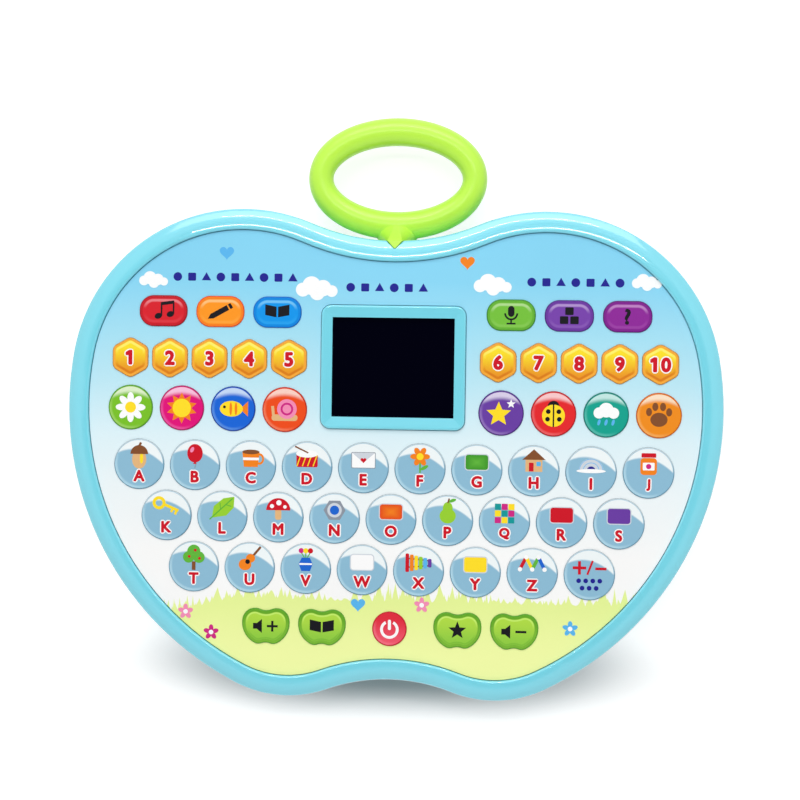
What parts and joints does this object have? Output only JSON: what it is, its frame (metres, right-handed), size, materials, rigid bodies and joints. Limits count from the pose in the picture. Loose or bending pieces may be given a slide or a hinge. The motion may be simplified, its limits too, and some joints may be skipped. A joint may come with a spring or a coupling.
{
  "type": "toy learning computer",
  "caption": "Flat apple-shaped toy learning computer with a loop handle, a small screen and a film keypad of round, pill, hexagon and apple-shaped keys, run from AA cells behind a screwed door.",
  "frame": {"origin": "bottom centre of the whole object as it lies on its back, on the flat back face", "axes": "+X to the right of a person reading the keys, +Y towards the handle, +Z out of the key face"},
  "size_m": [0.226, 0.2012, 0.026],
  "materials": {
    "shell_blue": "gloss",
    "handle_green": "satin",
    "overlay_print": "satin",
    "spacer_white": "matte",
    "circuit_print": "matte",
    "smoked_window": "gloss",
    "display_black": "matte",
    "board_green": "satin",
    "resin_black": "gloss",
    "capacitor_sleeve": "satin",
    "connector_ivory": "matte",
    "screw_steel": "satin",
    "speaker_steel": "satin",
    "paper_cone": "matte",
    "magnet_ferrite": "matte",
    "cell_wrap": "gloss",
    "contact_nickel": "satin",
    "lead_sleeve": "satin",
    "letter_key_blue": "gloss",
    "number_key_orange": "gloss",
    "apple_key_green": "gloss",
    "power_key_red": "gloss",
    "key_red": "gloss",
    "key_orange": "gloss",
    "key_blue": "gloss",
    "key_green": "gloss",
    "key_purple": "gloss",
    "key_pink": "gloss",
    "key_teal": "gloss",
    "key_amber": "gloss"
  },
  "bodies": {
    "case": {"front_shell": "shell_blue", "back_shell": "shell_blue", "carry_handle": "handle_green", "graphic_overlay": "overlay_print", "spacer_film": "spacer_white", "circuit_film": "circuit_print", "screen_window": "smoked_window", "led_matrix": "display_black", "main_board": "board_green", "controller_chip": "resin_black", "power_capacitor": "capacitor_sleeve", "tail_connector": "connector_ivory", "board_screws": "screw_steel", "speaker_basket": "speaker_steel", "speaker_cone": "paper_cone", "speaker_magnet": "magnet_ferrite", "speaker_screws": "screw_steel", "battery_cells": "cell_wrap", "battery_contacts": "contact_nickel", "battery_springs": "contact_nickel", "case_screws": "screw_steel", "speaker_leads": "lead_sleeve", "battery_leads": "lead_sleeve"},
    "door": {"battery_door": "shell_blue", "battery_door_screws": "screw_steel"},
    "mode_key_red_body": {"mode_key_red": "key_red"},
    "mode_key_orange_body": {"mode_key_orange": "key_orange"},
    "mode_key_blue_body": {"mode_key_blue": "key_blue"},
    "mode_key_green_body": {"mode_key_green": "key_green"},
    "mode_key_violet_body": {"mode_key_violet": "key_purple"},
    "mode_key_magenta_body": {"mode_key_magenta": "key_pink"},
    "number_key_1_body": {"number_key_1": "number_key_orange"},
    "number_key_2_body": {"number_key_2": "number_key_orange"},
    "number_key_3_body": {"number_key_3": "number_key_orange"},
    "number_key_4_body": {"number_key_4": "number_key_orange"},
    "number_key_5_body": {"number_key_5": "number_key_orange"},
    "number_key_6_body": {"number_key_6": "number_key_orange"},
    "number_key_7_body": {"number_key_7": "number_key_orange"},
    "number_key_8_body": {"number_key_8": "number_key_orange"},
    "number_key_9_body": {"number_key_9": "number_key_orange"},
    "number_key_10_body": {"number_key_10": "number_key_orange"},
    "picture_key_green_body": {"picture_key_green": "key_green"},
    "picture_key_pink_body": {"picture_key_pink": "key_pink"},
    "picture_key_blue_body": {"picture_key_blue": "key_blue"},
    "picture_key_orange_body": {"picture_key_orange": "key_orange"},
    "picture_key_purple_body": {"picture_key_purple": "key_purple"},
    "picture_key_red_body": {"picture_key_red": "key_red"},
    "picture_key_teal_body": {"picture_key_teal": "key_teal"},
    "picture_key_amber_body": {"picture_key_amber": "key_amber"},
    "letter_keys_row_1_body": {"letter_keys_row_1": "letter_key_blue"},
    "letter_keys_row_2_body": {"letter_keys_row_2": "letter_key_blue"},
    "letter_keys_row_3_body": {"letter_keys_row_3": "letter_key_blue"},
    "plus_minus_key_body": {"plus_minus_key": "letter_key_blue"},
    "volume_up_key_body": {"volume_up_key": "apple_key_green"},
    "book_key_body": {"book_key": "apple_key_green"},
    "star_key_body": {"star_key": "apple_key_green"},
    "volume_down_key_body": {"volume_down_key": "apple_key_green"},
    "power_key_body": {"power_key": "power_key_red"}
  },
  "joints": [
    {"name": "battery_door_lift", "type": "slide", "parent": "case", "child": "door", "axis": [0, 0, -1], "range_m": [0, 0.02]},
    {"name": "mode_key_red_press", "type": "slide", "parent": "case", "child": "mode_key_red_body", "axis": [0, 0, -1], "range_m": [0, 0.0005], "stiffness_N_per_m": 1200},
    {"name": "mode_key_orange_press", "type": "slide", "parent": "case", "child": "mode_key_orange_body", "axis": [0, 0, -1], "range_m": [0, 0.0005], "stiffness_N_per_m": 1200},
    {"name": "mode_key_blue_press", "type": "slide", "parent": "case", "child": "mode_key_blue_body", "axis": [0, 0, -1], "range_m": [0, 0.0005], "stiffness_N_per_m": 1200},
    {"name": "mode_key_green_press", "type": "slide", "parent": "case", "child": "mode_key_green_body", "axis": [0, 0, -1], "range_m": [0, 0.0005], "stiffness_N_per_m": 1200},
    {"name": "mode_key_violet_press", "type": "slide", "parent": "case", "child": "mode_key_violet_body", "axis": [0, 0, -1], "range_m": [0, 0.0005], "stiffness_N_per_m": 1200},
    {"name": "mode_key_magenta_press", "type": "slide", "parent": "case", "child": "mode_key_magenta_body", "axis": [0, 0, -1], "range_m": [0, 0.0005], "stiffness_N_per_m": 1200},
    {"name": "number_key_1_press", "type": "slide", "parent": "case", "child": "number_key_1_body", "axis": [0, 0, -1], "range_m": [0, 0.0005], "stiffness_N_per_m": 1200},
    {"name": "number_key_2_press", "type": "slide", "parent": "case", "child": "number_key_2_body", "axis": [0, 0, -1], "range_m": [0, 0.0005], "stiffness_N_per_m": 1200},
    {"name": "number_key_3_press", "type": "slide", "parent": "case", "child": "number_key_3_body", "axis": [0, 0, -1], "range_m": [0, 0.0005], "stiffness_N_per_m": 1200},
    {"name": "number_key_4_press", "type": "slide", "parent": "case", "child": "number_key_4_body", "axis": [0, 0, -1], "range_m": [0, 0.0005], "stiffness_N_per_m": 1200},
    {"name": "number_key_5_press", "type": "slide", "parent": "case", "child": "number_key_5_body", "axis": [0, 0, -1], "range_m": [0, 0.0005], "stiffness_N_per_m": 1200},
    {"name": "number_key_6_press", "type": "slide", "parent": "case", "child": "number_key_6_body", "axis": [0, 0, -1], "range_m": [0, 0.0005], "stiffness_N_per_m": 1200},
    {"name": "number_key_7_press", "type": "slide", "parent": "case", "child": "number_key_7_body", "axis": [0, 0, -1], "range_m": [0, 0.0005], "stiffness_N_per_m": 1200},
    {"name": "number_key_8_press", "type": "slide", "parent": "case", "child": "number_key_8_body", "axis": [0, 0, -1], "range_m": [0, 0.0005], "stiffness_N_per_m": 1200},
    {"name": "number_key_9_press", "type": "slide", "parent": "case", "child": "number_key_9_body", "axis": [0, 0, -1], "range_m": [0, 0.0005], "stiffness_N_per_m": 1200},
    {"name": "number_key_10_press", "type": "slide", "parent": "case", "child": "number_key_10_body", "axis": [0, 0, -1], "range_m": [0, 0.0005], "stiffness_N_per_m": 1200},
    {"name": "picture_key_green_press", "type": "slide", "parent": "case", "child": "picture_key_green_body", "axis": [0, 0, -1], "range_m": [0, 0.0005], "stiffness_N_per_m": 1200},
    {"name": "picture_key_pink_press", "type": "slide", "parent": "case", "child": "picture_key_pink_body", "axis": [0, 0, -1], "range_m": [0, 0.0005], "stiffness_N_per_m": 1200},
    {"name": "picture_key_blue_press", "type": "slide", "parent": "case", "child": "picture_key_blue_body", "axis": [0, 0, -1], "range_m": [0, 0.0005], "stiffness_N_per_m": 1200},
    {"name": "picture_key_orange_press", "type": "slide", "parent": "case", "child": "picture_key_orange_body", "axis": [0, 0, -1], "range_m": [0, 0.0005], "stiffness_N_per_m": 1200},
    {"name": "picture_key_purple_press", "type": "slide", "parent": "case", "child": "picture_key_purple_body", "axis": [0, 0, -1], "range_m": [0, 0.0005], "stiffness_N_per_m": 1200},
    {"name": "picture_key_red_press", "type": "slide", "parent": "case", "child": "picture_key_red_body", "axis": [0, 0, -1], "range_m": [0, 0.0005], "stiffness_N_per_m": 1200},
    {"name": "picture_key_teal_press", "type": "slide", "parent": "case", "child": "picture_key_teal_body", "axis": [0, 0, -1], "range_m": [0, 0.0005], "stiffness_N_per_m": 1200},
    {"name": "picture_key_amber_press", "type": "slide", "parent": "case", "child": "picture_key_amber_body", "axis": [0, 0, -1], "range_m": [0, 0.0005], "stiffness_N_per_m": 1200},
    {"name": "letter_keys_row_1_press", "type": "slide", "parent": "case", "child": "letter_keys_row_1_body", "axis": [0, 0, -1], "range_m": [0, 0.0005], "stiffness_N_per_m": 1200},
    {"name": "letter_keys_row_2_press", "type": "slide", "parent": "case", "child": "letter_keys_row_2_body", "axis": [0, 0, -1], "range_m": [0, 0.0005], "stiffness_N_per_m": 1200},
    {"name": "letter_keys_row_3_press", "type": "slide", "parent": "case", "child": "letter_keys_row_3_body", "axis": [0, 0, -1], "range_m": [0, 0.0005], "stiffness_N_per_m": 1200},
    {"name": "plus_minus_key_press", "type": "slide", "parent": "case", "child": "plus_minus_key_body", "axis": [0, 0, -1], "range_m": [0, 0.0005], "stiffness_N_per_m": 1200},
    {"name": "volume_up_key_press", "type": "slide", "parent": "case", "child": "volume_up_key_body", "axis": [0, 0, -1], "range_m": [0, 0.0005], "stiffness_N_per_m": 1200},
    {"name": "book_key_press", "type": "slide", "parent": "case", "child": "book_key_body", "axis": [0, 0, -1], "range_m": [0, 0.0005], "stiffness_N_per_m": 1200},
    {"name": "star_key_press", "type": "slide", "parent": "case", "child": "star_key_body", "axis": [0, 0, -1], "range_m": [0, 0.0005], "stiffness_N_per_m": 1200},
    {"name": "volume_down_key_press", "type": "slide", "parent": "case", "child": "volume_down_key_body", "axis": [0, 0, -1], "range_m": [0, 0.0005], "stiffness_N_per_m": 1200},
    {"name": "power_key_press", "type": "slide", "parent": "case", "child": "power_key_body", "axis": [0, 0, -1], "range_m": [0, 0.0005], "stiffness_N_per_m": 1200}
  ]
}
